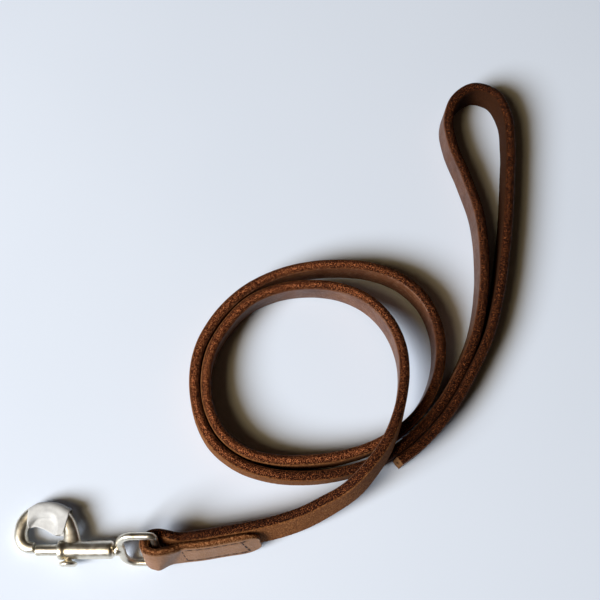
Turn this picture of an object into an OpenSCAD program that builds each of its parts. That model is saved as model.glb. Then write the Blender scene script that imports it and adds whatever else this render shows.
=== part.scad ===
// Flat leather strap lead: a folded and sewn snap end with a swivel-eye bolt snap, two loose turns
// of strap lying on edge, and a sewn hand loop. +Z is up and the strap stands on the plane z = 0.

/* [Strap] */
// Width of the leather strap
strap_w = 16; // [14:0.5:17]
// Thickness of the leather
strap_t = 4.8; // [3.6:0.1:5]
// Chamfer that stands for the rounded edges of the strap
edge_chamfer = 1; // [0.4:0.1:1.5]
// Gap left between two sewn layers
lap_gap = 0.4; // [0.3:0.1:0.6]
// Thickness of the thinned leather at the snap end, as a share of the full thickness
skive = 0.8; // [0.7:0.05:1]

/* [Stitching] */
// Diameter of the waxed thread
thread_d = 0.9; // [0.6:0.1:1.2]
// Distance between two holes of a row
stitch_pitch = 4; // [3:0.5:6]
// Distance from the middle of the strap to each row
stitch_row = 5.4; // [4:0.1:6]

/* [Bolt snap] */
// Diameter of the barrel
barrel_d = 8.6; // [8:0.1:10]
// Diameter of the sliding bolt
bolt_d = 5; // [4:0.1:5.4]
// Radial clearance of the bolt in its bore
bolt_play = 0.08; // [0.03:0.01:0.1]
// How far the bolt slides back
bolt_travel = 8; // [6:0.5:8]
// Diameter of the thumb stud's head
stud_head_d = 8.4; // [6:0.1:9]
// Width of the hook's bow, seen from the flat side
bow_w = 6.2; // [5:0.1:7]
// Thickness of the hook's bow
bow_t = 6; // [5:0.1:6]

/* [Swivel eye] */
// Diameter of the eye's wire
eye_wire_d = 3.4; // [3:0.1:3.4]
// Clear width inside the eye, for the strap
eye_inner_w = 17.6; // [17.2:0.1:18]
// Diameter of the shank that turns in the barrel
shank_d = 3.2; // [2.6:0.1:3.2]

/* [Hidden] */

leather = "#5a2a17";
thread_brown = "#2b140c";
nickel = "#b9b3a2";
steel = "#8f9194";
paper = "#ecebe6";

// Route of the strap's middle from the snap to the lap of the hand loop: [x, y, z, lean].
// Lean is the angle by which the top edge tips to the left of the way the route runs.
tail_route = [[-45, -112.3, 8.6, 21], [-35, -111.1, 8.4, 19], [-24.5, -109.3, 8.4, 19],
              [-11.5, -107.2, 8.8, 21], [2.5, -104, 10.5, 22], [12.5, -100.5, 12.5, 21],
              [22.5, -95.5, 15.5, 20], [32.5, -89.5, 19.5, 18], [40.5, -81.5, 24.4, 16],
              [48.5, -70.5, 25.2, 12], [54, -58, 24.2, 8], [57, -47, 22.8, 6],
              [58.5, -37, 21.4, 5], [58, -23.5, 18.6, 2], [52.5, -8.5, 15.5, 0],
              [41.5, 3.5, 12.5, 0], [30, 9, 10.5, 0], [17.5, 11, 9, 0]];
inner_route = [[17.5, 11, 9, 0], [0, 9, 8, 0], [-14, 2.5, 8, 0], [-25.5, -10, 8, 0],
               [-32.5, -23.5, 8, 0], [-34.5, -37.5, 8, 0], [-32.5, -51, 8, 0], [-26, -63, 8, 0],
               [-15.5, -71, 8, 0], [-1.5, -74.5, 8, 0], [14, -74.5, 8, 0], [31, -72, 8, 0],
               [45.5, -67, 8, 0], [58.5, -59, 8, 0], [68, -49.5, 8, 0], [74.5, -38, 8, 0],
               [78, -24, 8, 0]];
outer_route = [[78, -24, 8, 0], [77, -8.5, 8, 0], [70.5, 6, 8, 0], [59, 16, 8, 0],
               [44.5, 21, 8, 0], [26, 22, 8, 0], [11, 20, 8, 0], [-3, 15.5, 8, 0],
               [-17.5, 7, 8, 0], [-30.5, -7, 8, 0], [-38, -22, 8, 0], [-40, -37.5, 8, 0],
               [-37.5, -53, 8, 0], [-30.5, -66.5, 8, 0], [-18.5, -76, 8, 0], [-3, -81, 8, 0],
               [13, -82, 8, 0], [29, -80, 8, 0], [43.5, -75.5, 8, 0], [54, -70, 8, 0]];
hand_route = [[54, -70, 8, 0], [62.5, -63.5, 8, 0], [72, -54, 8, 0], [81, -42, 8, 0],
              [88.5, -29, 8, 0], [96, -12, 8, 0], [100.5, 8, 8, 0], [102, 29, 8, 0],
              [100.5, 51, 8, 0], [94.5, 72, 8, 0], [88.5, 89.5, 8, 0], [87, 103, 8, 0],
              [91.5, 114.8, 8.1, 3], [102, 121.7, 8.1, 5], [112.5, 118.4, 8.1, 3], [118, 107.5, 8, 0],
              [119, 91.5, 8, 0], [117.5, 71, 8, 0], [115.5, 51, 8, 0], [112.5, 29.5, 8, 0],
              [108.5, 8.5, 8, 0], [102, -13.5, 8, 0]];
// Points of hand_route that the sewn end lies beside, counted from its start
hand_lap_points = [4, 3, 2, 1, 0];

// Fold round the eye: its middle, the leans of the leather and of the eye, the slope of the snap
fold_at = [-54.5, -115.3, 12.4];
fold_lean = 22;
eye_lean = 29;
snap_slope = 8.2;
fold_gap = 1.3;
fold_r = eye_wire_d / 2 + fold_gap + strap_t * skive / 2;
fold_step = 30;
tip_taper = 0.55;
snap_pitch = strap_t * (1 + skive) / 2 + lap_gap;
hand_pitch = strap_t + lap_gap;

// Stations along the snap's axis, measured from the fold; the hook is at the low end
barrel_front = -45.3;
barrel_back = -19.3;
bore_back = -22.9;
bolt_tip = -56.1;
bolt_back = -37.2;
stud_x = -40.5;
rivet_x = -23.9;
rivet_t = 0.9;
rivet_d = 4.4;
eye_back = -16.3;
play = 0.1;
collar_d = 6;

stud_stem_d = 3.2;
stud_head_in = 5.2;
stud_head_out = 7.4;
slot_w = stud_stem_d + 2 * play;

spring_wire_d = 0.6;
spring_coils = 7;
spring_r = 1.95;

// Middle line of the hook's bow, [along, across], with its width as a share of bow_w
bow_route = [[-56.4, 1.1, 0.8], [-59, 1.2, 0.86], [-61.6, 2.8, 0.94], [-63.1, 5.8, 1],
             [-63.2, 9.2, 1], [-62, 13, 1], [-58.8, 16.3, 1], [-54.6, 18, 1], [-50, 18.1, 1],
             [-45.6, 16.5, 1], [-42.2, 13.4, 1], [-40.2, 9.4, 1.05], [-39.4, 5.4, 1.25],
             [-39.2, 1.5, 1.5]];
// Stations of the folded label: [along, folded edge outside the bow, inner edge of the bow, lower
// edge of the flag, half of the gap between its two sheets there]
label_route = [[-59.4, 19.4, 10.4, 9, 0.05], [-56.5, 20.8, 14, 9.8, 0.05], [-53, 21.4, 14.9, 9.2, 0.05],
               [-49.5, 21.4, 14.8, 7.8, 0.05], [-46.6, 20.8, 13.4, 6.8, 0.6],
               [-44, 19.8, 10, 6.5, 3.1], [-41.5, 18.4, 10, 6.6, 3.1]];
label_air = 0.1;
label_t = 0.25;
// Where the sheets turn: off the bow, onto its flat, off its flat and round its outer side
label_turns = [-1.2, 0.8, -1.5, 1.2];

// Section of the strap, [along its width, along its thickness]
profile = [for (s = [[1, 1], [1, -1], [-1, -1], [-1, 1]])
           for (k = [0, 1])
           let (first = (s[0] * s[1] > 0) != (k == 0))
           [s[0] * (strap_w / 2 - (first ? 0 : edge_chamfer)),
            s[1] * (strap_t / 2 - (first ? edge_chamfer : 0))]];

function unit(v) = v / norm(v);
function xyz(p) = [p[0], p[1], p[2]];

// One ring of the strap: [middle, direction of the width, direction of the thickness, share of the
// width, share of the thickness]
function ring_at(route, i, before, after) =
    let (n = len(route) - 1,
         back = i > 0 ? xyz(route[i - 1]) : (is_undef(before) ? xyz(route[0]) : before),
         next = i < n ? xyz(route[i + 1]) : (is_undef(after) ? xyz(route[n]) : after),
         along = unit(next - back),
         left = unit(cross([0, 0, 1], along)),
         up = cross(along, left),
         lean = route[i][3])
    [xyz(route[i]), up * cos(lean) + left * sin(lean), left * cos(lean) - up * sin(lean), 1, 1];

function rings_of(route, before, after) =
    [for (i = [0:len(route) - 1]) ring_at(route, i, before, after)];

// The layer that lies on the right of a ring, run the other way
function lap_ring(r, pitch, thin = 1) = [r[0] - r[2] * pitch, r[1], -r[2], 1, thin];

fold_along = [cos(snap_slope), 0, sin(snap_slope)];
fold_up = [-sin(snap_slope), 0, cos(snap_slope)];
fold_across = [0, 1, 0];
fold_w = fold_across * sin(fold_lean) + fold_up * cos(fold_lean);
fold_s = fold_across * cos(fold_lean) - fold_up * sin(fold_lean);
fold_rings = [for (a = [-90:fold_step:90])
              let (out = fold_s * sin(a) - fold_along * cos(a))
              [fold_at + out * fold_r, fold_w, out, 1, skive]];

tail_rings = rings_of(tail_route, fold_at + fold_s * fold_r, xyz(inner_route[1]));
inner_rings = rings_of(inner_route, xyz(tail_route[len(tail_route) - 2]), xyz(outer_route[1]));
outer_rings = rings_of(outer_route, xyz(inner_route[len(inner_route) - 2]), xyz(hand_route[1]));
hand_main = rings_of(hand_route, xyz(outer_route[len(outer_route) - 2]),
                     lap_ring(ring_at(hand_route, hand_lap_points[0]), hand_pitch)[0]);
hand_rings = concat(hand_main, [for (i = hand_lap_points) lap_ring(hand_main[i], hand_pitch)]);

// The sewn layer at the snap ends in a tapered tip a little past its last ring
snap_lap_last = 3;
tip_length = 3;
tip_base = lap_ring(tail_rings[snap_lap_last], snap_pitch, skive);
tip_along = unit(xyz(tail_route[snap_lap_last + 1]) - xyz(tail_route[snap_lap_last]));
snap_rings = concat([[tip_base[0] + tip_along * tip_length, tip_base[1], tip_base[2], tip_taper, skive]],
                    [for (i = [snap_lap_last:-1:0]) lap_ring(tail_rings[i], snap_pitch, skive)],
                    fold_rings,
                    [for (i = [0:snap_lap_last + 1]) tail_rings[i]]);
tail_part_rings = [for (i = [snap_lap_last + 1:len(tail_rings) - 1]) tail_rings[i]];

// Closed tube of any section through a list of rings of points. A band's section runs out along one
// side and back along the other, so each of its ends is a strip of four-cornered faces.
module tube(rings, band = false) {
    n = len(rings[0]);
    last = len(rings) - 1;
    strip = [for (k = [0:n / 2 - 2]) [k, k + 1, n - 2 - k, n - 1 - k]];
    whole = [for (k = [0:n - 1]) k];
    first_cap = [for (f = band ? strip : [whole]) [for (k = [len(f) - 1:-1:0]) f[k]]];
    last_cap = [for (f = band ? strip : [whole]) [for (k = f) last * n + k]];
    sides = [for (i = [0:last - 1]) for (k = [0:n - 1])
             [i * n + k, i * n + (k + 1) % n, (i + 1) * n + (k + 1) % n, (i + 1) * n + k]];
    triangles = [for (q = sides) for (t = [[q[0], q[1], q[2]], [q[0], q[2], q[3]]]) t];
    polyhedron([for (r = rings) for (p = r) p], concat(triangles, first_cap, last_cap), convexity = 10);
}

module strap(rings) {
    color(leather) tube([for (r = rings)
                         [for (p = profile) r[0] + r[1] * (p[0] * r[3]) + r[2] * (p[1] * r[4])]]);
}

module strap_snap_end() strap(snap_rings);
module strap_tail() strap(tail_part_rings);
module strap_inner_turn() strap(inner_rings);
module strap_outer_turn() strap(outer_rings);
module strap_hand_loop() strap(hand_rings);

// Place between two rings, with directions half way between theirs
function between(a, b, share) =
    let (w = unit(a[1] + b[1]), s = a[2] + b[2])
    [a[0] * (1 - share) + b[0] * share, w, unit(s - w * (s * w))];

// Place a given way along the rings
function walk(rings, i, left_over) =
    i >= len(rings) - 2 || norm(rings[i + 1][0] - rings[i][0]) >= left_over
        ? between(rings[i], rings[i + 1], min(1, left_over / norm(rings[i + 1][0] - rings[i][0])))
        : walk(rings, i + 1, left_over - norm(rings[i + 1][0] - rings[i][0]));

// Puts a child on a ring: x along the width, y along the thickness, z along the strap
module on_ring(r) {
    z = cross(r[1], r[2]);
    multmatrix([[r[1][0], r[2][0], z[0], r[0][0]], [r[1][1], r[2][1], z[1], r[0][1]],
                [r[1][2], r[2][2], z[2], r[0][2]], [0, 0, 0, 1]]) children();
}

// Share of the pitch that a run of thread covers, and how far off the middle a cross row's stitch is
stitch_share = 0.7;
cross_at = stitch_row / 3;

// One stitch: a leg through both layers and a run of thread on each outer face
module stitch(run, reach) {
    proud = thread_d / 4;
    outer = strap_t / 2;
    run_length = stitch_pitch * stitch_share;
    translate([0, outer + proud, 0]) rotate([90, 0, 0])
        cylinder(d = thread_d, h = reach + 2 * proud, $fn = 16);
    for (y = [outer + proud, outer - reach - proud])
        translate([0, y, 0]) rotate(run) cylinder(d = thread_d, h = run_length, $fn = 16);
}

// Two rows along the strap, closed by a row across it at each end
module stitched_box(rings, start, count, reach) {
    color(thread_brown) {
        for (side = [-1, 1]) for (i = [0:count - 1])
            on_ring(walk(rings, 0, start + i * stitch_pitch))
                translate([side * stitch_row, 0, 0]) stitch([0, 0, 0], reach);
        for (at = [start, start + (count - 1) * stitch_pitch]) for (w = [-1, 1])
            on_ring(walk(rings, 0, at))
                translate([w * cross_at, 0, 0]) stitch([0, 90, 0], reach);
    }
}

snap_row_start = 2;
snap_row_count = 8;
hand_row_start = 3;
hand_row_count = 12;

snap_reach = snap_pitch + strap_t * (1 + skive) / 2;
hand_reach = hand_pitch + strap_t;

module snap_end_stitching() stitched_box(tail_rings, snap_row_start, snap_row_count, snap_reach);
module hand_loop_stitching() stitched_box(hand_main, hand_row_start, hand_row_count, hand_reach);

// Puts a child in the snap's own frame: x along the snap, y across it, z square to its flat side
module snap_frame() translate(fold_at) rotate([0, -snap_slope, 0]) children();

// Cylinder along the snap's axis from one station to another
module bar(from, to, d) translate([from, 0, 0]) rotate([0, 90, 0]) cylinder(d = d, h = to - from, $fn = 48);

bow_sides = 12;
bow_rings = [for (i = [0:len(bow_route) - 1])
             let (n = len(bow_route) - 1,
                  a = bow_route[max(i - 1, 0)],
                  b = bow_route[min(i + 1, n)],
                  along = unit([b[0] - a[0], b[1] - a[1], 0]))
             [[bow_route[i][0], bow_route[i][1], 0], cross(along, [0, 0, 1]), bow_route[i][2]]];

function bow_section(r) =
    [for (k = [0:bow_sides - 1])
     let (a = k * 360 / bow_sides)
     r[0] + r[1] * (cos(a) * bow_w * r[2] / 2) + [0, 0, sin(a) * bow_t / 2]];

module snap_body() {
    nose = 1.2;
    color(nickel) snap_frame() difference() {
        union() {
            tube([for (r = bow_rings) bow_section(r)]);
            rotate([0, 90, 0]) rotate_extrude($fn = 64)
                polygon([[0, barrel_front], [barrel_d / 2 - nose, barrel_front],
                         [barrel_d / 2, barrel_front + nose], [barrel_d / 2, barrel_back - nose],
                         [barrel_d / 2 - nose, barrel_back], [0, barrel_back]]);
        }
        bar(barrel_front - bolt_travel, bore_back, bolt_d + 2 * bolt_play);
        bar(bore_back - play, barrel_back + play, shank_d + 2 * play);
        translate([stud_x, -barrel_d, -slot_w / 2])
            cube([bolt_travel, barrel_d, slot_w]);
        for (x = [stud_x, stud_x + bolt_travel])
            translate([x, 0, 0]) rotate([90, 0, 0]) cylinder(d = slot_w, h = barrel_d, $fn = 32);
    }
}

module snap_bolt() {
    nose = 0.6;
    color(nickel) snap_frame() difference() {
        rotate([0, 90, 0]) rotate_extrude($fn = 48)
            polygon([[0, bolt_tip], [bolt_d / 2 - nose, bolt_tip], [bolt_d / 2, bolt_tip + nose],
                     [bolt_d / 2, bolt_back], [0, bolt_back]]);
        translate([stud_x, 0, 0]) rotate([90, 0, 0]) cylinder(d = stud_stem_d, h = bolt_d, $fn = 32);
    }
}

module thumb_stud() {
    rim = 0.5;
    color(nickel) snap_frame() translate([stud_x, 0, 0]) rotate([90, 0, 0]) union() {
        cylinder(d = stud_stem_d, h = stud_head_in + play, $fn = 32);
        rotate_extrude($fn = 48)
            polygon([[0, stud_head_in], [stud_head_d / 2 - rim, stud_head_in],
                     [stud_head_d / 2, stud_head_in + rim], [stud_head_d / 2, stud_head_out - rim],
                     [stud_head_d / 2 - rim, stud_head_out], [0, stud_head_out]]);
    }
}

module bolt_spring() {
    steps = 12;
    from = bolt_back + play + spring_wire_d / 2;
    to = rivet_x - play - spring_wire_d / 2;
    n = spring_coils * steps;
    color(steel) snap_frame() tube([for (i = [0:n])
        let (a = i * 360 / steps,
             out = [0, cos(a), sin(a)],
             at = [from + (to - from) * i / n, 0, 0] + out * spring_r)
        [for (k = [0:5]) at + out * (cos(k * 60) * spring_wire_d / 2)
                            + [sin(k * 60) * spring_wire_d / 2, 0, 0]]]);
}

// Quarter ring of the eye's wire, from the +x side round to the +y side
module wire_corner(r) rotate_extrude(angle = 90, $fn = 64) translate([r, 0, 0]) circle(d = eye_wire_d, $fn = 32);

module swivel_eye() {
    half_w = (eye_inner_w + eye_wire_d) / 2;
    far_r = 2.5;
    near_r = 6.5;
    color(nickel) snap_frame() union() {
        bar(rivet_x, rivet_x + rivet_t, rivet_d);
        bar(rivet_x, eye_back, shank_d);
        bar(barrel_back + play, eye_back, collar_d);
        rotate([90 - eye_lean, 0, 0]) {
            for (s = [0, 1]) mirror([0, s, 0]) {
                rotate([-90, 0, 0]) cylinder(d = eye_wire_d, h = half_w - far_r, $fn = 32);
                translate([-far_r, half_w - far_r, 0]) wire_corner(far_r);
                translate([eye_back + near_r, half_w, 0]) rotate([0, 90, 0])
                    cylinder(d = eye_wire_d, h = -eye_back - near_r - far_r, $fn = 32);
                translate([eye_back + near_r, half_w - near_r, 0]) rotate(90) wire_corner(near_r);
                translate([eye_back, 0, 0]) rotate([-90, 0, 0])
                    cylinder(d = eye_wire_d, h = half_w - near_r, $fn = 32);
            }
        }
    }
}

// Half of the label's section at one station, from the flag up over the bow to its outer side
function label_half(st, lift) =
    let (top = bow_t / 2 + label_air + lift, side = st[1] + label_air + lift, flat = st[4] + lift)
    [[st[3], flat], [st[2] + label_turns[0], flat], [st[2] + label_turns[1], top],
     [st[1] + label_turns[2], top], [side, label_turns[3]]];

function label_section(st) =
    let (inner = label_half(st, 0), outer = label_half(st, label_t), n = len(inner) - 1)
    [for (p = concat([for (i = [0:n]) outer[i]], [for (i = [n:-1:0]) [outer[i][0], -outer[i][1]]],
                     [for (i = [0:n]) [inner[i][0], -inner[i][1]]], [for (i = [n:-1:0]) inner[i]]))
     [st[0], p[0], p[1]]];

module paper_label() {
    color(paper) snap_frame() tube([for (st = label_route) label_section(st)], band = true);
}

strap_snap_end();
strap_tail();
strap_inner_turn();
strap_outer_turn();
strap_hand_loop();
snap_end_stitching();
hand_loop_stitching();
snap_body();
snap_bolt();
thumb_stud();
bolt_spring();
swivel_eye();
paper_label();
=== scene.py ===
"""A flat leather lead strap on a pale table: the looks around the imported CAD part.

Everything is in metres, in the part's own frame. The strap is one mesh swept along the route that the
CAD part uses; the snap, its eye, bolt and stud are built in the snap's own frame and put in place.
"""

import math

import bpy
import numpy as np
from mathutils import Matrix, Vector, noise


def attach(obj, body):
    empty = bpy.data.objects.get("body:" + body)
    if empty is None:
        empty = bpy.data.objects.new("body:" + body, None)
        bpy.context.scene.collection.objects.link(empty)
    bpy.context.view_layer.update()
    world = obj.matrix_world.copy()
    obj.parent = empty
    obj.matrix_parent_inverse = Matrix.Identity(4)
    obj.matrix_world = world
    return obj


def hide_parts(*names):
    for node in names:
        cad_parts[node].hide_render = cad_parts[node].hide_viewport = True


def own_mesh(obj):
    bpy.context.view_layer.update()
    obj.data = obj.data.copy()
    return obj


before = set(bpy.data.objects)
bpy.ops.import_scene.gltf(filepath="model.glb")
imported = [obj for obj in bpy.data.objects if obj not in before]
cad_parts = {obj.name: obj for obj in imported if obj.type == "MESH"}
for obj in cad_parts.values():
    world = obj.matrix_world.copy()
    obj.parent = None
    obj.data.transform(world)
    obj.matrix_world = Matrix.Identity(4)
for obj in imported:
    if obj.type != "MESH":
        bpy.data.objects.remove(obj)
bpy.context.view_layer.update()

MM = 0.001

# ---------------------------------------------------------------- camera
CAMERA_AT = (-0.0212, -0.1555, 0.5137)
CAMERA_TURN = (17.62, -3.58, 0.0)
LENS = 64.8

camera_data = bpy.data.cameras.new("camera")
camera_data.lens = LENS
camera_data.sensor_width = 36
camera = bpy.data.objects.new("camera", camera_data)
camera.location = CAMERA_AT
camera.rotation_euler = [math.radians(a) for a in CAMERA_TURN]
bpy.context.scene.collection.objects.link(camera)
bpy.context.scene.camera = camera
bpy.context.scene.view_settings.view_transform = "Standard"

# ---------------------------------------------------------------- strap route
# Size of the strap, the gap between sewn layers, the share of the thickness left at the snap, and how far
# the middles of two sewn layers lie apart
STRAP_W = 0.016
STRAP_T = 0.0048
LAP_GAP = 0.0004
SKIVE = 0.8
SNAP_PITCH = STRAP_T * (1 + SKIVE) / 2 + LAP_GAP
HAND_PITCH = STRAP_T + LAP_GAP
# Fold round the eye: its middle, the leans of the leather and of the eye, the slope of the snap
EYE_WIRE = 0.0034
FOLD_AT = Vector((-0.0545, -0.1153, 0.0124))
FOLD_LEAN = math.radians(22)
EYE_LEAN = math.radians(29)
SNAP_SLOPE = math.radians(8.2)
FOLD_R = EYE_WIRE / 2 + 0.0013 + STRAP_T * SKIVE / 2

# Middle of the strap, [x, y, z, lean in degrees], as in the CAD part
TAIL = [(-.045, -.1123, .0086, 21), (-.035, -.1111, .0084, 19), (-.0245, -.1093, .0084, 19),
        (-.0115, -.1072, .0088, 21), (.0025, -.104, .0105, 22), (.0125, -.1005, .0125, 21),
        (.0225, -.0955, .0155, 20), (.0325, -.0895, .0195, 18), (.0405, -.0815, .0244, 16),
        (.0485, -.0705, .0252, 12), (.054, -.058, .0242, 8), (.057, -.047, .0228, 6),
        (.0585, -.037, .0214, 5), (.058, -.0235, .0186, 2), (.0525, -.0085, .0155, 0),
        (.0415, .0035, .0125, 0), (.030, .009, .0105, 0)]
INNER = [(.0175, .011, .009, 0), (.000, .009, .008, 0), (-.014, .0025, .008, 0),
         (-.0255, -.010, .008, 0), (-.0325, -.0235, .008, 0), (-.0345, -.0375, .008, 0),
         (-.0325, -.051, .008, 0), (-.026, -.063, .008, 0), (-.0155, -.071, .008, 0),
         (-.0015, -.0745, .008, 0), (.014, -.0745, .008, 0), (.031, -.072, .008, 0),
         (.0455, -.067, .008, 0), (.0585, -.059, .008, 0), (.068, -.0495, .008, 0),
         (.0745, -.038, .008, 0)]
OUTER = [(.078, -.024, .008, 0), (.077, -.0085, .008, 0), (.0705, .006, .008, 0),
         (.059, .016, .008, 0), (.0445, .021, .008, 0), (.026, .022, .008, 0), (.011, .020, .008, 0),
         (-.003, .0155, .008, 0), (-.0175, .007, .008, 0), (-.0305, -.007, .008, 0),
         (-.038, -.022, .008, 0), (-.040, -.0375, .008, 0), (-.0375, -.053, .008, 0),
         (-.0305, -.0665, .008, 0), (-.0185, -.076, .008, 0), (-.003, -.081, .008, 0),
         (.013, -.082, .008, 0), (.029, -.080, .008, 0), (.0435, -.0755, .008, 0)]
HAND = [(.054, -.070, .008, 0), (.0625, -.0635, .008, 0), (.072, -.054, .008, 0),
        (.081, -.042, .008, 0), (.0885, -.029, .008, 0), (.096, -.012, .008, 0),
        (.1005, .008, .008, 0), (.102, .029, .008, 0), (.1005, .051, .008, 0), (.0945, .072, .008, 0),
        (.0885, .0895, .008, 0), (.087, .103, .008, 0), (.0915, .1148, .0081, 3),
        (.102, .1217, .0081, 5), (.1125, .1184, .0081, 3), (.118, .1075, .008, 0), (.119, .0915, .008, 0),
        (.1175, .071, .008, 0), (.1155, .051, .008, 0), (.1125, .0295, .008, 0),
        (.1085, .0085, .008, 0), (.102, -.0135, .008, 0)]
# Points of HAND and TAIL that the two sewn ends lie beside, in the order in which the strap meets them
HAND_LAP = [4, 3, 2, 1, 0]
SNAP_LAP = [3, 2, 1, 0]
TIP_LENGTH = 0.003
ROUTE_STEP = 0.00045
FINE_POINTS = 6000
SLOPE_REACH = 0.0006

along_snap = Vector((math.cos(SNAP_SLOPE), 0, math.sin(SNAP_SLOPE)))
up_snap = Vector((-math.sin(SNAP_SLOPE), 0, math.cos(SNAP_SLOPE)))
across_snap = Vector((0, 1, 0))
fold_side = across_snap * math.cos(FOLD_LEAN) - up_snap * math.sin(FOLD_LEAN)


def knots_of(points):
    """(middle, side) at each point of a route: side is square to the strap's face, on its left."""
    found = []
    for i, p in enumerate(points):
        a, b = points[max(i - 1, 0)], points[min(i + 1, len(points) - 1)]
        along = (Vector(b[:3]) - Vector(a[:3])).normalized()
        left = Vector((0, 0, 1)).cross(along).normalized()
        lean = math.radians(p[3])
        found.append((Vector(p[:3]), left * math.cos(lean) - along.cross(left) * math.sin(lean)))
    return found


def lapped(knot, pitch):
    """The layer that lies on the right of a knot, run the other way."""
    return knot[0] - knot[1] * pitch, -knot[1]


main = knots_of([(*(FOLD_AT + fold_side * FOLD_R), 0)] + TAIL + INNER + OUTER + HAND)[1:]
tail_knots = main[:len(TAIL)]
hand_knots = main[len(TAIL) + len(INNER) + len(OUTER):]
# Half a circle round the eye, from the lap to the main strap
fold_knots = []
for step in range(-3, 4):
    turn = math.radians(30 * step)
    out = fold_side * math.sin(turn) - along_snap * math.cos(turn)
    fold_knots.append((FOLD_AT + out * FOLD_R, out))
# The whole strap: its tip at the snap, the lap there, the fold, the main strap and the lap of the hand loop
tip = lapped(tail_knots[SNAP_LAP[0]], SNAP_PITCH)
tip_along = (tail_knots[SNAP_LAP[0] + 1][0] - tail_knots[SNAP_LAP[0]][0]).normalized()
knots = ([(tip[0] + tip_along * TIP_LENGTH, tip[1])] + [lapped(tail_knots[i], SNAP_PITCH) for i in SNAP_LAP]
         + fold_knots + main + [lapped(hand_knots[i], HAND_PITCH) for i in HAND_LAP])
first_tail = 1 + len(SNAP_LAP) + len(fold_knots)
hand_first = first_tail + len(TAIL) + len(INNER) + len(OUTER)


def smooth_curve(values, at, t):
    """Cubic through the values at the places at, evaluated at t, with slopes from its neighbours."""
    h = np.diff(at)[:, None]
    rise = np.diff(values, axis=0) / h
    slope = np.empty_like(values)
    slope[1:-1] = (rise[:-1] * h[1:] + rise[1:] * h[:-1]) / (h[1:] + h[:-1])
    slope[0], slope[-1] = rise[0], rise[-1]
    i = np.clip(np.searchsorted(at, t, side="right") - 1, 0, len(at) - 2)
    h = h[i]
    u = ((t - at[i])[:, None]) / h
    return ((2 * u**3 - 3 * u**2 + 1) * values[i] + (u**3 - 2 * u**2 + u) * h * slope[i]
            + (3 * u**2 - 2 * u**3) * values[i + 1] + (u**3 - u**2) * h * slope[i + 1])


def lengths_along(points):
    """Length from the first point of a broken line to each of its points."""
    return np.concatenate([[0], np.cumsum(np.linalg.norm(np.diff(points, axis=0), axis=1))])


def row_dot(a, b):
    return (a * b).sum(axis=1, keepdims=True)


def row_unit(a):
    return a / np.linalg.norm(a, axis=1, keepdims=True)


class Route:
    """The strap's middle line, with the directions of its length, thickness and width."""

    def __init__(self, knots, spacing):
        middle = np.array([k[0] for k in knots], float)
        side = np.array([k[1] for k in knots], float)
        at = lengths_along(middle)
        t = np.linspace(0, at[-1], FINE_POINTS)
        line = smooth_curve(middle, at, t)
        self.length_at = lengths_along(line)
        self.length = float(self.length_at[-1])
        self.line, self.turn = line, smooth_curve(side, at, t)
        self.knot_at = np.interp(at, t, self.length_at)
        # the lap at the snap and the fold are thinned
        self.share_at = [SKIVE] * first_tail + [1.0] * (len(knots) - first_tail)
        self.s = np.linspace(0, self.length, int(self.length / spacing) + 1)
        self.middle, self.along, self.side, self.width = self.at(self.s)

    def look_up(self, values, s):
        return np.stack([np.interp(s, self.length_at, values[:, k]) for k in range(3)], axis=1)

    def at(self, s):
        """Middle, length, thickness and width directions at the lengths s."""
        along = row_unit(self.look_up(self.line, s + SLOPE_REACH) - self.look_up(self.line, s - SLOPE_REACH))
        side = self.look_up(self.turn, s)
        side = row_unit(side - along * row_dot(side, along))
        return self.look_up(self.line, s), along, side, np.cross(along, side)

    def thickness(self, s):
        """Half of the leather's thickness at the lengths s."""
        return STRAP_T / 2 * np.interp(s, self.knot_at, self.share_at)


route = Route(knots, ROUTE_STEP)

# Lengths along the route where the sewn layers begin and end
snap_lap_end = route.knot_at[len(SNAP_LAP)]
snap_main_start = route.knot_at[first_tail]
snap_main_end = route.knot_at[first_tail + SNAP_LAP[0]]
hand_main_start = route.knot_at[hand_first]
hand_main_end = route.knot_at[hand_first + HAND_LAP[0]]
hand_lap_start = route.knot_at[len(knots) - len(HAND_LAP)]
# Painted shade: the leather is painted darkest beyond hand_from, over the hand loop, and a little less from
# the lap at the snap to tail_to
hand_from = hand_main_start
tail_to = route.knot_at[first_tail + 11]


# ---------------------------------------------------------------- mesh helpers
def new_object(name, mesh):
    obj = bpy.data.objects.new(name, mesh)
    bpy.context.scene.collection.objects.link(obj)
    return obj


def mesh_of(name, points, faces):
    mesh = bpy.data.meshes.new(name)
    mesh.from_pydata([tuple(p) for p in points], [], [tuple(int(i) for i in f) for f in faces])
    mesh.validate()
    mesh.update()
    mesh.polygons.foreach_set("use_smooth", [True] * len(mesh.polygons))
    return mesh


def ring_faces(rings, sides, closed=False):
    """Four-cornered faces between rings of points; closed joins the last ring to the first."""
    faces = []
    for i in range(rings if closed else rings - 1):
        j = (i + 1) % rings
        for k in range(sides):
            m = (k + 1) % sides
            faces.append((i * sides + k, i * sides + m, j * sides + m, j * sides + k))
    return faces


def end_faces(rings, sides):
    """The two faces that close a tube of rings."""
    return [tuple(range(sides))[::-1], tuple((rings - 1) * sides + k for k in range(sides))]


def set_floats(mesh, name, values):
    mesh.attributes.new(name, "FLOAT", "POINT").data.foreach_set("value", np.asarray(values, np.float32))


def noise_of(points, size, seed):
    """Smooth noise from -1 to 1 at each point, with features about size across."""
    shift = Vector((seed * 17.3, seed * 5.1, seed * 9.7))
    return np.array([noise.noise(Vector(p) / size + shift) for p in points])


def applied(obj):
    """The object with its modifiers turned into mesh."""
    graph = bpy.context.evaluated_depsgraph_get()
    mesh = bpy.data.meshes.new_from_object(obj.evaluated_get(graph))
    obj.modifiers.clear()
    obj.data = mesh
    return obj


# ---------------------------------------------------------------- strap mesh
EDGE_ROUND = 0.0014
CROWN = 0.0003
ROW_AT = 0.0054
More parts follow.
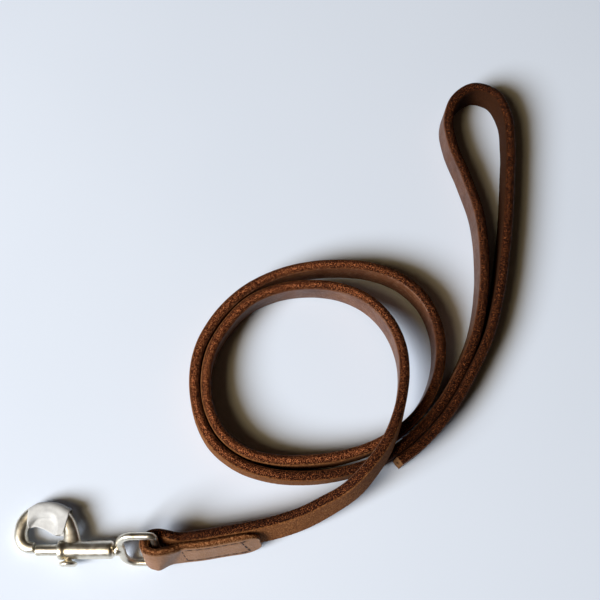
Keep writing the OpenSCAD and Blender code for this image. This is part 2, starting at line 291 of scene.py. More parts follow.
# Places across a face in mm, up to its middle: closest beside the sewn row
FACE_STEPS = [-6.9, -6.4, -6.0, -5.7, -5.4, -5.1, -4.8, -4.2, -3.2, -2.1, -1.0, 0.0]
EDGE_STEPS = 9
# Painted shade: how far the edge mark falls from the middle of the crown to its rims, painting the rims
# darker
EDGE_FADE = 0.16
# How much of the edge's look each step of its rounding has, by its turn in degrees; the smaller the share,
# the darker the painted shade there
ROUND_STEPS = {30: 0.75, 60: 0.35}
# Sewn tip at the snap: length of its rounding and of its thinning, and its width and thickness at the end
TIP_ROUND, TIP_THIN = 0.0075, 0.011
TIP_W, TIP_T = 0.42, 0.62
# Roughness as (height in mm, size of its features in m)
EDGE_FUZZ = [(0.32, 0.0013), (0.18, 0.0006)]
WAVES = [(0.10, 0.009), (0.03, 0.0028)]
FLESH_FUZZ = [(0.05, 0.0013)]
GROOVE_HALF, GROOVE_DEPTH = 0.0005, 0.00028
SEWN_FADE = 0.002
# Painted shade: lengths over which it darkens the leather, its share outside the hand loop, and the stretch
# along x over which it darkens the side towards the hand loop, away from the lamps
HAND_FADE, TAIL_FADE = 0.10, 0.05
PAINTED_SHADE_SHARE = 0.72
SHADE_ALONG_X = (0.035, 0.07)
# Cut ends: each ring's share of the outline, and the ends' bulge and its roughness in mm
CAP_SHARES = (0.86, 0.62, 0.36, 0.14)
CAP_BULGE, CAP_FUZZ = 0.12, 0.16


def strap_profile():
    """Points round the strap's section: (width, thickness, outward width, outward thickness, edge, grain)."""
    half_w, half_t = STRAP_W / 2, STRAP_T / 2
    flat_w, flat_t = half_w - EDGE_ROUND - CROWN, half_t - EDGE_ROUND
    face = [s * MM for s in FACE_STEPS] + [-s * MM for s in FACE_STEPS[-2::-1]]
    found = []
    for side in (1, -1):
        for u in np.linspace(-1, 1, EDGE_STEPS):
            found.append((side * (half_w - CROWN * u * u), side * flat_t * u, side, 0, 1 - EDGE_FADE * u * u))
        for turn in (30, 60):
            c, s = math.cos(math.radians(turn)), math.sin(math.radians(turn))
            found.append((side * (flat_w + c * EDGE_ROUND), side * (flat_t + s * EDGE_ROUND),
                          side * c, side * s, ROUND_STEPS[turn]))
        for w in reversed(face):
            found.append((side * w, side * half_t, 0, side, 0))
        for turn in (60, 30):
            c, s = math.cos(math.radians(turn)), math.sin(math.radians(turn))
            found.append((side * (-flat_w - c * EDGE_ROUND), side * (flat_t + s * EDGE_ROUND),
                          -side * c, side * s, ROUND_STEPS[turn]))
    return np.array([(*f, 1.0 if f[1] > 0 else 0.0) for f in found])


def ramp(x, low, high):
    """Smooth rise from 0 at low to 1 at high."""
    t = np.clip((x - low) / (high - low), 0, 1)
    return t * t * (3 - 2 * t)


def within(x, low, high, fade):
    """1 between low and high, fading to 0 at both ends."""
    return ramp(x, low, low + fade) * (1 - ramp(x, high - fade, high))


def roughness(points, layers, first_seed):
    """Layers of noise, added up, in mm."""
    return sum(height * noise_of(points, size, first_seed + i) for i, (height, size) in enumerate(layers))


def build_strap():
    profile = strap_profile()
    n, sides = len(route.s), len(profile)
    s = route.s
    # the sewn tip at the snap is rounded and thinned
    from_tip = np.clip(s / TIP_ROUND, 0, 1)
    width_share = TIP_W + (1 - TIP_W) * np.sqrt(1 - (1 - from_tip) ** 2)
    thin_share = (TIP_T + (1 - TIP_T) * ramp(s, 0, TIP_THIN)) * route.thickness(s) / (STRAP_T / 2)
    w = profile[:, 0][None, :] * width_share[:, None]
    t = profile[:, 1][None, :] * thin_share[:, None]
    out_w, out_t, edge, grain = (np.broadcast_to(profile[:, k], (n, sides)) for k in range(2, 6))
    middle, side, width = (a[:, None, :] for a in (route.middle, route.side, route.width))
    place = (middle + width * w[..., None] + side * t[..., None]).reshape(-1, 3)
    normal = (width * out_w[..., None] + side * out_t[..., None]).reshape(-1, 3)
    edge, grain = edge.reshape(-1), grain.reshape(-1)
    s_all = np.repeat(s, sides)
    w_all = np.abs(w).reshape(-1)

    fuzz = roughness(place, EDGE_FUZZ, 1)
    wave = roughness(place, WAVES, 3)
    rough_flesh = roughness(place, FLESH_FUZZ, 5) * (1 - grain)
    lift = MM * (edge * fuzz + (1 - edge) * (0.5 * wave + rough_flesh) + 0.35 * wave * edge)

    # the thread's rows are pressed into the grain face of each sewn layer
    sewn = sum(within(s_all, start, stop, SEWN_FADE) for start, stop in (
        (0.004, snap_lap_end - 0.002), (snap_main_start + 0.001, snap_main_end),
        (hand_main_start, hand_main_end - 0.004), (hand_lap_start + 0.004, route.length - 0.001)))
    groove = np.exp(-((w_all - ROW_AT) / GROOVE_HALF) ** 2) * sewn * grain * (1 - edge)
    lift -= GROOVE_DEPTH * groove
    place = place + normal * lift[:, None]
    # nothing reaches below the table
    place[:, 2] = np.maximum(place[:, 2], 0)

    faces = ring_faces(n, sides)
    points = [place]
    # the lap sewn back at the snap looks lighter; painted shade darkens the hand loop, the tail by the snap
    # and the side towards positive x
    lap = 1 - ramp(s_all, snap_lap_end + 0.003, snap_main_start - 0.002)
    snap_side_shade = (1 - ramp(s_all, tail_to, tail_to + TAIL_FADE)) * (1 - lap)
    loop_shade = ramp(s_all, hand_from - HAND_FADE, hand_from)
    handled = np.maximum(loop_shade, PAINTED_SHADE_SHARE * np.maximum(snap_side_shade, ramp(place[:, 0], *SHADE_ALONG_X)))
    marks = {"edge": [edge], "grain": [grain], "cut": [np.zeros(n * sides)], "groove": [groove], "lap": [lap],
             "handled": [handled]}
    # both ends are closed by rings that shrink towards the middle; only the last one is a raw cut
    base = n * sides
    for end, ring in ((0, 0), (1, n - 1)):
        rim = place[ring * sides:(ring + 1) * sides]
        heart = rim.mean(axis=0)
        previous = ring * sides + np.arange(sides)
        out = -route.along[ring] if end == 0 else route.along[ring]
        for share in CAP_SHARES:
            inner = heart + (rim - heart) * share
            bulge = CAP_FUZZ * noise_of(inner, 0.0012, 6) + CAP_BULGE
            inner = inner + out * (bulge * MM)[:, None]
            inner[:, 2] = np.maximum(inner[:, 2], 0)
            points.append(inner)
            ids = base + np.arange(sides)
            for k in range(sides):
                m = (k + 1) % sides
                quad = (previous[k], ids[k], ids[m], previous[m])
                faces.append(quad if end == 0 else quad[::-1])
            for key, value in (("edge", 1.0), ("grain", 0.0), ("cut", float(end)), ("groove", 0.0),
                               ("lap", 1.0 - end), ("handled", float(end))):
                marks[key].append(np.full(sides, value))
            previous, base = ids, base + sides
        faces.append(tuple(previous) if end == 0 else tuple(previous[::-1]))
    mesh = mesh_of("leather_strap", np.concatenate(points), faces)
    for key, values in marks.items():
        set_floats(mesh, key, np.concatenate(values))
    return new_object("leather_strap", mesh)


strap = build_strap()


# ---------------------------------------------------------------- snap frame and its meshes
SNAP = Matrix.Translation(FOLD_AT) @ Matrix.Rotation(-SNAP_SLOPE, 4, "Y")
# The origin is the middle of the strap's fold, where the eye turns; the bow lies on the side of negative x
BARREL_FRONT, BARREL_BACK, BORE_BACK = -0.0453, -0.0193, -0.0229
BARREL_R = 0.0043
BORE_R, RIVET_HOLE_R, SLOT_HALF_W = 0.00268, 0.00172, 0.00172
BOLT_TIP, BOLT_BACK, BOLT_R = -0.0561, -0.0372, 0.0025
STUD_X, STUD_STEM_R, STUD_HEAD_R = -0.0405, 0.0016, 0.0042
BOLT_TRAVEL = 0.008
RIVET_X = -0.0239
EYE_BACK = -0.0163
EYE_HALF_W = 0.0105
BOW_W, BOW_T = 0.0062, 0.006
# Middle of the bow from its nose to the barrel, as (along the snap, away from it, share of BOW_W)
BOW = [(-.0564, .0011, .8), (-.059, .0012, .86), (-.0616, .0028, .94), (-.0631, .0058, 1),
       (-.0632, .0092, 1), (-.062, .013, 1), (-.0588, .0163, 1), (-.0546, .018, 1),
       (-.050, .0181, 1), (-.0456, .0165, 1), (-.0422, .0134, 1), (-.0402, .0094, 1.05),
       (-.0394, .0054, 1.25), (-.0392, .0015, 1.5)]


def lathe(name, outline, sides=64):
    """A solid turned about the snap's axis from (along, radius) points that start and end on it."""
    points = [(outline[0][0], 0, 0), (outline[-1][0], 0, 0)]
    body = outline[1:-1]
    for x, r in body:
        for k in range(sides):
            a = 2 * math.pi * k / sides
            points.append((x, r * math.cos(a), r * math.sin(a)))
    faces = [tuple(i + 2 for i in f) for f in ring_faces(len(body), sides)]
    last = 2 + (len(body) - 1) * sides
    for k in range(sides):
        m = (k + 1) % sides
        faces.append((0, 2 + m, 2 + k))
        faces.append((1, last + k, last + m))
    return mesh_of(name, points, faces)


def rounded(outline, radius):
    """The outline with each inner corner turned into a small arc."""
    steps = 4
    found = [outline[0]]
    for i in range(1, len(outline) - 1):
        a, b, c = (Vector(outline[j]) for j in (i - 1, i, i + 1))
        reach = min(radius, (a - b).length * 0.45, (c - b).length * 0.45)
        start, stop = b + (a - b).normalized() * reach, b + (c - b).normalized() * reach
        for k in range(steps + 1):
            u = k / steps
            found.append(tuple(start * (1 - u) ** 2 + b * 2 * u * (1 - u) + stop * u * u))
    return found + [outline[-1]]


def sweep(name, line, section, closed=False):
    """A tube: section(i) gives ring i's points as (across, up) about the line's own directions."""
    points = []
    n = len(line)
    for i in range(n):
        a = line[(i - 1) % n if closed else max(i - 1, 0)]
        b = line[(i + 1) % n if closed else min(i + 1, n - 1)]
        along = (b - a).normalized()
        across = along.cross(Vector((0, 0, 1))).normalized()
        for u, v in section(i):
            points.append(line[i] + across * u + Vector((0, 0, v)))
    sides = len(section(0))
    faces = ring_faces(n, sides, closed)
    if not closed:
        faces += end_faces(n, sides)
    return mesh_of(name, points, faces)


def squircle(half_w, half_t, sides, power):
    """An oval section with fuller corners the smaller the power is."""
    found = []
    for k in range(sides):
        a = 2 * math.pi * k / sides
        c, s = math.cos(a), math.sin(a)
        found.append((math.copysign(abs(c) ** power, c) * half_w, math.copysign(abs(s) ** power, s) * half_t))
    return found


def combine(target, other, how):
    """Joins other to target, or cuts it out of it, and removes it."""
    step = target.modifiers.new(how, "BOOLEAN")
    step.operation, step.object, step.solver = how, other, "EXACT"
    applied(target)
    bpy.data.objects.remove(other)


def cast_finish(obj, voxel, passes):
    """Remeshes the joined pieces into one skin and softens it, as a casting's corners are."""
    skin = obj.modifiers.new("skin", "REMESH")
    skin.mode, skin.voxel_size, skin.use_smooth_shade = "VOXEL", voxel, True
    soft = obj.modifiers.new("soft", "SMOOTH")
    soft.factor, soft.iterations = 0.5, passes
    applied(obj)
    obj.data.polygons.foreach_set("use_smooth", [True] * len(obj.data.polygons))


def place_in_snap(obj, body, *nodes):
    """Puts a piece built in the snap's own frame in place, for these CAD nodes and on this body."""
    obj.data.transform(SNAP)
    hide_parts(*nodes)
    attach(obj, body)
    return obj


def build_casting():
    rough = np.array(BOW)
    at = lengths_along(rough[:, :2])
    fine = smooth_curve(rough, at, np.linspace(0, at[-1], 90))
    line = [Vector((p[0], p[1], 0)) for p in fine]
    shares = [float(p[2]) for p in fine]
    casting = new_object("snap_casting", sweep("snap_casting", line, lambda i: squircle(
        BOW_W / 2 * shares[i], BOW_T / 2 * (0.86 + 0.14 * min(1, i / 12)), 32, 0.86)))
    barrel = new_object("barrel", lathe("barrel", rounded(
        [(BARREL_FRONT, 0), (BARREL_FRONT, BARREL_R), (BARREL_FRONT + .0022, BARREL_R + .0002),
         (BARREL_FRONT + .0034, BARREL_R - .0002), (BARREL_BACK - .0035, BARREL_R - .0002),
         (BARREL_BACK - .0012, BARREL_R - .0002), (BARREL_BACK, BARREL_R - .0014), (BARREL_BACK, 0)], .0009)))
    combine(casting, barrel, "UNION")
    cast_finish(casting, 0.00022, 6)
    bore = new_object("bore", lathe("bore", [(BARREL_FRONT - .006, 0), (BARREL_FRONT - .006, BORE_R),
                                             (BORE_BACK, BORE_R), (BORE_BACK, 0)], 48))
    combine(casting, bore, "DIFFERENCE")
    hole = new_object("hole", lathe("hole", [
        (BORE_BACK - .001, 0), (BORE_BACK - .001, RIVET_HOLE_R), (BARREL_BACK + .002, RIVET_HOLE_R),
        (BARREL_BACK + .002, 0)], 32))
    combine(casting, hole, "DIFFERENCE")
    slot_line = [Vector((STUD_X, -.012, 0)), Vector((STUD_X, 0, 0))]
    outline = []
    for centre, start in ((STUD_X + BOLT_TRAVEL, -90), (STUD_X, 90)):
        for k in range(13):
            a = math.radians(start + 15 * k)
            outline.append((centre - STUD_X + SLOT_HALF_W * math.cos(a), SLOT_HALF_W * math.sin(a)))
    slot = new_object("slot", sweep("slot", slot_line, lambda i: outline))
    combine(casting, slot, "DIFFERENCE")
    return place_in_snap(casting, "snap", "snap_body")


casting = build_casting()


def build_bolt():
    bolt = new_object("sliding_bolt", lathe("sliding_bolt", rounded(
        [(BOLT_TIP, 0), (BOLT_TIP, BOLT_R - .0007), (BOLT_TIP + .0008, BOLT_R), (BOLT_BACK, BOLT_R),
         (BOLT_BACK, 0)], .0005)))
    return place_in_snap(bolt, "bolt", "snap_bolt")


bolt = build_bolt()


def build_stud():
    """The stem with its round head, turned about the axis that points away from the bow."""
    outline = rounded([(.0015, 0), (.0015, STUD_STEM_R), (.0046, STUD_STEM_R), (.0053, STUD_HEAD_R - .0006),
                       (.0056, STUD_HEAD_R), (.0066, STUD_HEAD_R), (.0074, STUD_HEAD_R - .0012),
                       (.0075, 0)], .0005)
    mesh = lathe("thumb_stud_head", outline)
    mesh.transform(Matrix.Translation((STUD_X, 0, 0)) @ Matrix.Rotation(math.radians(-90), 4, "Z"))
    return place_in_snap(new_object("thumb_stud_head", mesh), "bolt", "thumb_stud")


stud = build_stud()


def build_spring():
    turns, steps, sides = 7, 28, 8
    wire, radius = .0003, .00195
    start, stop = BOLT_BACK + .0004, RIVET_X - .0004
    n = turns * steps
    points = []
    for i in range(n + 1):
        a = 2 * math.pi * i / steps
        out = Vector((0, math.cos(a), math.sin(a)))
        at = Vector((start + (stop - start) * i / n, 0, 0)) + out * radius
        for k in range(sides):
            b = 2 * math.pi * k / sides
            points.append(at + out * math.cos(b) * wire + Vector((math.sin(b) * wire, 0, 0)))
    faces = ring_faces(n + 1, sides) + end_faces(n + 1, sides)
    spring = place_in_snap(new_object("return_spring", mesh_of("return_spring", points, faces)),
                           "snap", "bolt_spring")
    # The bolt's full travel leaves just over a third of the spring's length
    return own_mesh(spring)


spring = build_spring()


def build_eye():
    """A cast ring, thicker at its two ends, joined to the shank that turns in the barrel."""
    far, near = .0025, .0065
    corners = [((-far, EYE_HALF_W - far), far, 0), ((EYE_BACK + near, EYE_HALF_W - near), near, 90),
               ((EYE_BACK + near, near - EYE_HALF_W), near, 180), ((-far, far - EYE_HALF_W), far, 270)]
    knots = []
    for (x, y), r, start in corners:
        for k in range(9):
            a = math.radians(start + 90 * k / 8)
            knots.append(Vector((x + r * math.cos(a), y + r * math.sin(a), 0)))
    line = []
    for a, b in zip(knots, knots[1:] + knots[:1]):
        parts = max(1, round((b - a).length / .0006))
        line += [a.lerp(b, k / parts) for k in range(parts)]
    thick = [1 + .12 * ramp(-p.x / -EYE_BACK, .7, 1.0) for p in line]
    ring = new_object("eye_ring", sweep("eye_ring", line, lambda i: squircle(
        EYE_WIRE / 2 * float(thick[i]), EYE_WIRE / 2, 24, 0.95), closed=True))
    ring.data.transform(Matrix.Rotation(math.radians(90) - EYE_LEAN, 4, "X"))
    shank = new_object("shank", lathe("shank", rounded(
        [(RIVET_X, 0), (RIVET_X, .0021), (RIVET_X + .0008, .0022), (RIVET_X + .0009, .0016),
         (BARREL_BACK - .0001, .0016), (BARREL_BACK + .0002, .0028), (BARREL_BACK + .0013, .0030),
         (EYE_BACK - .0005, .0026), (EYE_BACK + .0008, .0015), (EYE_BACK + .0013, 0)], .0004)))
    combine(ring, shank, "UNION")
    cast_finish(ring, 0.0002, 5)
    return place_in_snap(ring, "eye", "swivel_eye")


eye = build_eye()

# ---------------------------------------------------------------- paper label
# Along the snap, folded edge outside the bow, bow's inner edge, flag's lower edge, gap at that edge
LABEL = [(-.0598, .0188, .0104, .0098, .0001), (-.0565, .0208, .014, .0104, .0001),
         (-.053, .0214, .0149, .0094, .0001), (-.0495, .0214, .0148, .0078, .0001),
         (-.0466, .0208, .0134, .0067, .0006), (-.044, .0198, .0100, .0065, .0031),
         (-.0402, .0178, .0100, .0068, .0032)]
# Half of the distance between its two sides on the bow, how far its free end slants, and the paper's
# thickness
LABEL_HALF = BOW_T / 2 + .00012
LABEL_SLANT = .0026
PAPER_T = .00018


def build_label():
    """One strip of paper: up from the flag, over the bow, round its outer side and back underneath."""
    rough = np.array(LABEL)
    xs = np.linspace(rough[0, 0], rough[-1, 0], 34)
    fine = smooth_curve(rough[:, 1:], rough[:, 0], xs)
    rows = []
    for x, (outer, inner, low, gap) in zip(xs, fine):
        gap = float(np.clip(gap, .0001, LABEL_HALF))
        step = gap + (LABEL_HALF - gap) * .12
        half = [(low, gap), (low * .5 + inner * .5 - .0004, gap + (LABEL_HALF - gap) * .02),
                (inner - .0008, step), (inner + .0002, gap + (LABEL_HALF - gap) * .7),
                (inner + .0014, LABEL_HALF), (outer * .5 + inner * .5, LABEL_HALF + .0001),
                (outer - .0018, LABEL_HALF), (outer - .0004, .0022), (outer + .0002, .0008)]
        path = np.array(half + [(y, -z) for y, z in reversed(half)])
        at = lengths_along(path)
        curve = smooth_curve(path, at, np.linspace(0, at[-1], 64))
        lean = LABEL_SLANT * float(ramp(x, -.052, -.0402))
        rows.append([Vector((x - lean * (outer - y) / (outer - low), y, z)) for y, z in curve])
    sides = len(rows[0])
    points = [p for row in rows for p in row]
    faces = [(i * sides + k, i * sides + k + 1, (i + 1) * sides + k + 1, (i + 1) * sides + k)
             for i in range(len(rows) - 1) for k in range(sides - 1)]
    label = new_object("blank_label", mesh_of("blank_label", points, faces))
    shell = label.modifiers.new("thickness", "SOLIDIFY")
    shell.thickness, shell.offset = PAPER_T, 0
    applied(label)
    return place_in_snap(label, "snap", "paper_label")


label = build_label()


# ---------------------------------------------------------------- stitching
# Thread's radius, the stitches' pitch, and how deep their ends sink into the leather
THREAD_R = .00034
STITCH_PITCH = .004
SINK = .00045
# Share of the pitch that a stitch shows, and the cross rows' places and half length across the strap
STITCH_SHARE = .72
CROSS_AT = (-.0036, 0, .0036)
CROSS_HALF = .0014
SNAP_STITCHES, HAND_STITCHES = 7, 12
SNAP_SLANT = .3


def stitch_points(start, stop):
    """A short run of thread that rises out of the leather and dives back in: points and faces."""
    steps, sides = 10, 10
    along = stop[0] - start[0]
    up = (start[1] + stop[1]).normalized()
    across = along.normalized().cross(up)
    points = []
    for i in range(steps + 1):
        u = i / steps
        height = -SINK + (SINK + THREAD_R * .2) * min(1, math.sin(math.pi * u) * 1.9)
        thick = THREAD_R * (0.82 + 0.18 * math.sin(math.pi * u))
        at = start[0] + along * (-.06 + 1.12 * u) + up * height
        for k in range(sides):
            a = 2 * math.pi * k / sides
            points.append(at + across * math.cos(a) * thick + up * math.sin(a) * thick * .85)
    return points, ring_faces(steps + 1, sides) + end_faces(steps + 1, sides)


def on_face(s, w):
    """Place on the strap's grain face at length s, w off its middle, and the way out of the leather."""
    middle, _, side, width = (Vector(a[0]) for a in route.at(np.array([s])))
    return middle + width * w + side * (float(route.thickness(s)) - .0002), side


def build_stitches(name, node, spans):
    """Two rows and two cross rows on each face of a sewn lap.

    A span is (first length, count of stitches, slant of the cross rows)."""
    points, faces = [], []
    for first, count, slant in spans:
        runs = [((first + i * STITCH_PITCH, w), (first + (i + STITCH_SHARE) * STITCH_PITCH, w))
                for w in (-ROW_AT, ROW_AT) for i in range(count)]
        for s in (first, first + count * STITCH_PITCH):
            runs += [((s + slant * (w - CROSS_HALF), w - CROSS_HALF),
                      (s + slant * (w + CROSS_HALF), w + CROSS_HALF)) for w in CROSS_AT]
        for a, b in runs:
            more, more_faces = stitch_points(on_face(*a), on_face(*b))
            faces += [tuple(i + len(points) for i in f) for f in more_faces]
            points += more
    thread = new_object(name, mesh_of(name, points, faces))
    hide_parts(node)
    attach(thread, "strap")
    return thread


snap_thread = build_stitches("snap_end_thread", "snap_end_stitching", [
    (.007, SNAP_STITCHES, SNAP_SLANT), (snap_main_start + .003, SNAP_STITCHES, SNAP_SLANT)])
hand_thread = build_stitches("hand_loop_thread", "hand_loop_stitching", [
    (hand_main_start + .003, HAND_STITCHES, 0), (hand_lap_start + .003, HAND_STITCHES, 0)])


# ---------------------------------------------------------------- materials
class Shader:
    """A node material, built by short calls. A link is given as (node, output name)."""

    def __init__(self, name):
        self.material = bpy.data.materials.new(name)
        self.material.use_nodes = True
        self.nodes = self.material.node_tree.nodes
        self.links = self.material.node_tree.links
        self.surface = self.nodes["Principled BSDF"]
        self.place = (self.add("ShaderNodeTexCoord"), "Object")

    def add(self, kind, inputs=None, **settings):
        node = self.nodes.new(kind)
        for key, value in settings.items():
            setattr(node, key, value)
        for key, value in (inputs or {}).items():
            self.put(node, key, value)
        return node

    def put(self, node, key, value):
        """Links a value that is a link, and sets any other on the socket."""
        socket = node.inputs[key]
        if isinstance(value, tuple) and len(value) == 2 and isinstance(value[0], bpy.types.Node):
            self.links.new(value[0].outputs[value[1]], socket)
        else:
            socket.default_value = value

    def noise(self, scale, detail=3.0, roughness=0.5):
        node = self.add("ShaderNodeTexNoise", {"Vector": self.place, "Scale": scale, "Detail": detail,
                                               "Roughness": roughness})
        return node, "Fac"

    def cells(self, scale):
        return self.add("ShaderNodeTexVoronoi", {"Vector": self.place, "Scale": scale}), "Distance"

    def mark(self, name):
        return self.add("ShaderNodeAttribute", attribute_name=name), "Fac"

    def ramp(self, value, *stops):
        """A colour ramp: a stop is (place, colour), or (place, number) for a grey."""
        node = self.add("ShaderNodeValToRGB", {"Fac": value})
        marks = node.color_ramp.elements
        while len(marks) < len(stops):
            marks.new(0.5)
        for mark, (at, colour) in zip(marks, stops):
            mark.position = at
            mark.color = (*colour, 1) if isinstance(colour, tuple) else (colour, colour, colour, 1)
        return node, "Color"

    def math(self, how, a, b=0.0, c=0.0):
        return self.add("ShaderNodeMath", {0: a, 1: b, 2: c}, operation=how), "Value"

    def mix(self, share, a, b, how="MIX"):
        """Two colours mixed: the Mix node's colour sockets are 6, 7 and 2."""
        node = self.add("ShaderNodeMix", {0: share, 6: a, 7: b}, data_type="RGBA", blend_type=how)
        return node, 2

    def blend(self, share, a, b):
        """Two numbers mixed: the Mix node's number sockets are 2, 3 and 0."""
        node = self.add("ShaderNodeMix", {0: share, 2: a, 3: b}, data_type="FLOAT")
        return node, 0

    def bump(self, height, distance, strength):
        inputs = {"Height": height, "Distance": distance, "Strength": strength}
        return self.add("ShaderNodeBump", inputs), "Normal"

    def finish(self, **inputs):
        for key, value in inputs.items():
            self.put(self.surface, key.replace("_", " "), value)
        return self.material


def dress(obj, material):
    obj.data.materials.clear()
    obj.data.materials.append(material)


def leather_material():
    m = Shader("brown_leather")
    edge, grain, cut, groove, lap = (m.mark(n) for n in ("edge", "grain", "cut", "groove", "lap"))
    handled = m.mark("handled")
    # grain side: smooth, pinkish brown, faintly mottled, with pores and fine creases
    mottled = m.ramp(m.noise(70, 4, 0.55), (0.30, (0.076, 0.023, 0.008)), (0.70, (0.140, 0.052, 0.020)))
    mottled = m.mix(m.math("MULTIPLY", lap, 0.55), mottled, (0.34, 0.190, 0.102, 1))
    worn = m.ramp(m.noise(620, 4, 0.65), (0.50, (0.0, 0.0, 0.0)), (0.80, (0.42, 0.42, 0.42)))
    mottled = m.mix(worn, mottled, (0.34, 0.205, 0.128, 1))
    # painted shade: the grain is darkened on the painted-shade stretches
    shaded_grain = m.mix(1.0, mottled, (0.66, 0.62, 0.60, 1), "MULTIPLY")
    mottled = m.mix(m.ramp(handled, (PAINTED_SHADE_SHARE, 0.0), (1.0, 0.8)), mottled, shaded_grain)
    pores = m.ramp(m.cells(1500), (0.05, 0.55), (0.28, 1.0))
    grain_colour = m.mix(1.0, mottled, pores, "MULTIPLY")
    # flesh side: matt tan brown with short fibres
    flesh_colour = m.ramp(m.noise(900, 5, 0.65), (0.28, (0.085, 0.027, 0.008)), (0.55, (0.185, 0.072, 0.024)),
                          (0.78, (0.33, 0.150, 0.058)))
    # painted shade: the flesh side goes nearly black on the painted-shade stretches
    flesh_colour = m.mix(m.ramp(handled, (PAINTED_SHADE_SHARE, 0.0), (1.0, 0.93)), flesh_colour,
                         (0.022, 0.006, 0.0015, 1))
    # cut edges: dark red-brown, densely flecked with light fibre ends; lighter on the lap at the snap.
    # Painted shade darkens their rounded rims against a lighter crown, and darkens them more on the
    # painted-shade stretches
    flecks = m.noise(2250, 2, 0.75)
    dark_speckle = m.ramp(flecks, (0.40, (0.008, 0.0016, 0.0006)), (0.48, (0.034, 0.0065, 0.0018)),
                          (0.54, (0.105, 0.023, 0.007)), (0.61, (0.54, 0.190, 0.072)))
    light_speckle = m.ramp(flecks, (0.36, (0.075, 0.020, 0.006)), (0.50, (0.165, 0.056, 0.018)),
                           (0.64, (0.50, 0.235, 0.100)))
    speckle = m.mix(lap, dark_speckle, light_speckle)
    patches = m.ramp(m.noise(60, 3, 0.5), (0.3, 0.82), (0.72, 1.12))
    edge_colour = m.mix(1.0, speckle, patches, "MULTIPLY")
    # painted shade and highlight: darker towards the rounded rims, lighter along the middle of the crown
    rim = m.ramp(edge, (0.55, 0.36), (0.84, 0.72), (1.0, 1.18))
    edge_colour = m.mix(1.0, edge_colour, rim, "MULTIPLY")
    # painted shade: darker, duller flecks on the painted-shade stretches
    shaded_edge_flecks = m.ramp(flecks, (0.47, (0.005, 0.0012, 0.0004)), (0.57, (0.028, 0.006, 0.0016)),
                   (0.69, (0.38, 0.120, 0.038)))
    edge_colour = m.mix(m.ramp(handled, (0.0, 0.0), (PAINTED_SHADE_SHARE, 0.85), (1.0, 0.95)), edge_colour, shaded_edge_flecks)
    # the raw cut at the strap's end
    raw = m.ramp(m.noise(900, 4, 0.6), (0.32, (0.085, 0.030, 0.009)), (0.68, (0.30, 0.150, 0.060)))
    colour = m.mix(grain, flesh_colour, grain_colour)
    # painted shade: the colour darkens in the thread's pressed grooves
    colour = m.mix(groove, colour, m.mix(0.55, colour, (0.03, 0.012, 0.006, 1)))
    # the edge's look stops along an uneven line
    edge_sharp = m.ramp(m.math("ADD", edge, m.math("MULTIPLY_ADD", m.noise(1300, 3, 0.6), 0.8, -0.4)),
                        (0.40, 0.0), (0.60, 1.0))
    colour = m.mix(edge_sharp, colour, edge_colour)
    colour = m.mix(cut, colour, raw)
    rough = m.blend(grain, 0.90, m.ramp(m.noise(160, 4), (0.3, 0.36), (0.7, 0.52)))
    rough = m.blend(edge_sharp, rough, 0.88)
    shine = m.blend(grain, 0.10, 0.21)
    shine = m.blend(edge_sharp, shine, 0.08)
    fine = m.math("MULTIPLY", m.cells(1300), m.math("MULTIPLY_ADD", grain, -0.55, 1.0))
    height = m.blend(edge_sharp, m.math("ADD", fine, m.noise(420, 4, 0.6)), m.noise(1500, 4, 0.75))
    normal = m.bump(height, 0.00032, 0.9)
    return m.finish(Base_Color=colour, Roughness=rough, Normal=normal, Specular_IOR_Level=shine)


def thread_material():
    m = Shader("waxed_thread")
    twist = m.add("ShaderNodeTexWave", {"Vector": m.place, "Scale": 900.0, "Distortion": 1.5},
                  wave_type="BANDS", bands_direction="DIAGONAL")
    colour = m.ramp((twist, "Fac"), (0.2, (0.030, 0.012, 0.007)), (0.8, (0.120, 0.056, 0.034)))
    return m.finish(Base_Color=colour, Roughness=0.55, Normal=m.bump((twist, "Fac"), 0.00012, 0.8))


def nickel_material():
    m = Shader("worn_nickel")
    tarnish = m.ramp(m.noise(190, 5, 0.62), (0.32, (0.50, 0.44, 0.32)), (0.48, (0.74, 0.69, 0.575)),
                     (0.72, (0.86, 0.825, 0.735)))
    rough = m.ramp(m.noise(330, 4, 0.6), (0.3, 0.29), (0.75, 0.45))
    casting_skin = m.math("ADD", m.noise(240, 3, 0.55), m.math("MULTIPLY", m.noise(1500, 3, 0.6), 0.3))
    return m.finish(Base_Color=tarnish, Roughness=rough, Metallic=1.0,
                    Normal=m.bump(casting_skin, 0.0002, 0.3))


def steel_material():
    m = Shader("spring_wire")
    colour = m.ramp(m.noise(500, 3), (0.3, (0.30, 0.30, 0.30)), (0.7, (0.55, 0.55, 0.54)))
    rough = m.ramp(m.noise(900, 2), (0.3, 0.25), (0.7, 0.4))
    return m.finish(Base_Color=colour, Roughness=rough, Metallic=1.0)


def paper_material():
    m = Shader("label_paper")
    colour = m.ramp(m.noise(260, 6, 0.7), (0.25, (0.42, 0.425, 0.43)), (0.6, (0.55, 0.555, 0.55)))
    return m.finish(Base_Color=colour, Roughness=0.62, Normal=m.bump(m.noise(420, 5, 0.6), 0.00015, 0.5))


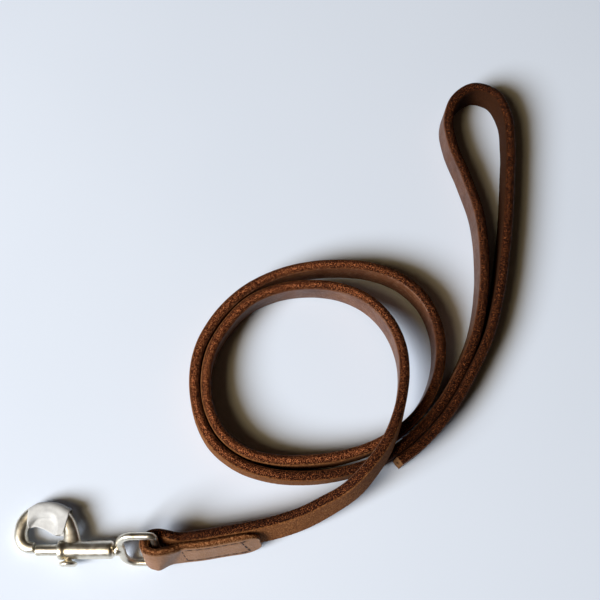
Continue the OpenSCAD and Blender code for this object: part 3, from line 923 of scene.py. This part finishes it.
nickel = nickel_material()
thread = thread_material()
dress(strap, leather_material())
for piece in (casting, bolt, stud, eye):
    dress(piece, nickel)
dress(spring, steel_material())
dress(label, paper_material())
for piece in (snap_thread, hand_thread):
    dress(piece, thread)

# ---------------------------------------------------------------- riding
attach(strap, "strap")
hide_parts("strap_snap_end", "strap_tail", "strap_inner_turn", "strap_outer_turn", "strap_hand_loop")


# ---------------------------------------------------------------- stage and light
FLOOR_HALF = 3.0
LIT_POINT = (0.02, -0.01, 0)
# Cool light of a window from the front left, and a weak warm light of the room above it
LAMPS = [{"name": "window", "at": (-1.93, -1.27, 1.65), "size": 1.4, "power": 134,
          "colour": (0.97, 0.985, 0.995)},
         {"name": "room", "at": (-1.3, -0.87, 2.1), "size": 0.8, "power": 14, "colour": (1.0, 0.71, 0.35)}]
WORLD_COLOUR = (1.0, 0.60, 0.28, 1)
WORLD_STRENGTH = 0.018


def build_floor():
    corners = [(x * FLOOR_HALF, y * FLOOR_HALF, 0) for x, y in ((-1, -1), (1, -1), (1, 1), (-1, 1))]
    floor = new_object("table_top", mesh_of("table_top", corners, [(0, 1, 2, 3)]))
    m = Shader("pale_table")
    colour = m.ramp(m.noise(6, 2), (0.3, (0.67, 0.745, 0.87)), (0.7, (0.69, 0.765, 0.89)))
    floor.data.materials.append(m.finish(Base_Color=colour, Roughness=0.6, Specular_IOR_Level=0.2))


def area_light(name, at, size, power, colour):
    data = bpy.data.lights.new(name, "AREA")
    data.shape, data.size, data.energy, data.color = "DISK", size, power, colour
    lamp = bpy.data.objects.new(name, data)
    lamp.location = at
    lamp.rotation_euler = (Vector(LIT_POINT) - Vector(at)).to_track_quat("-Z", "Y").to_euler()
    bpy.context.scene.collection.objects.link(lamp)


build_floor()
for lamp in LAMPS:
    area_light(**lamp)
world = bpy.data.worlds.new("studio")
world.use_nodes = True
world.node_tree.nodes["Background"].inputs["Color"].default_value = WORLD_COLOUR
world.node_tree.nodes["Background"].inputs["Strength"].default_value = WORLD_STRENGTH
bpy.context.scene.world = world
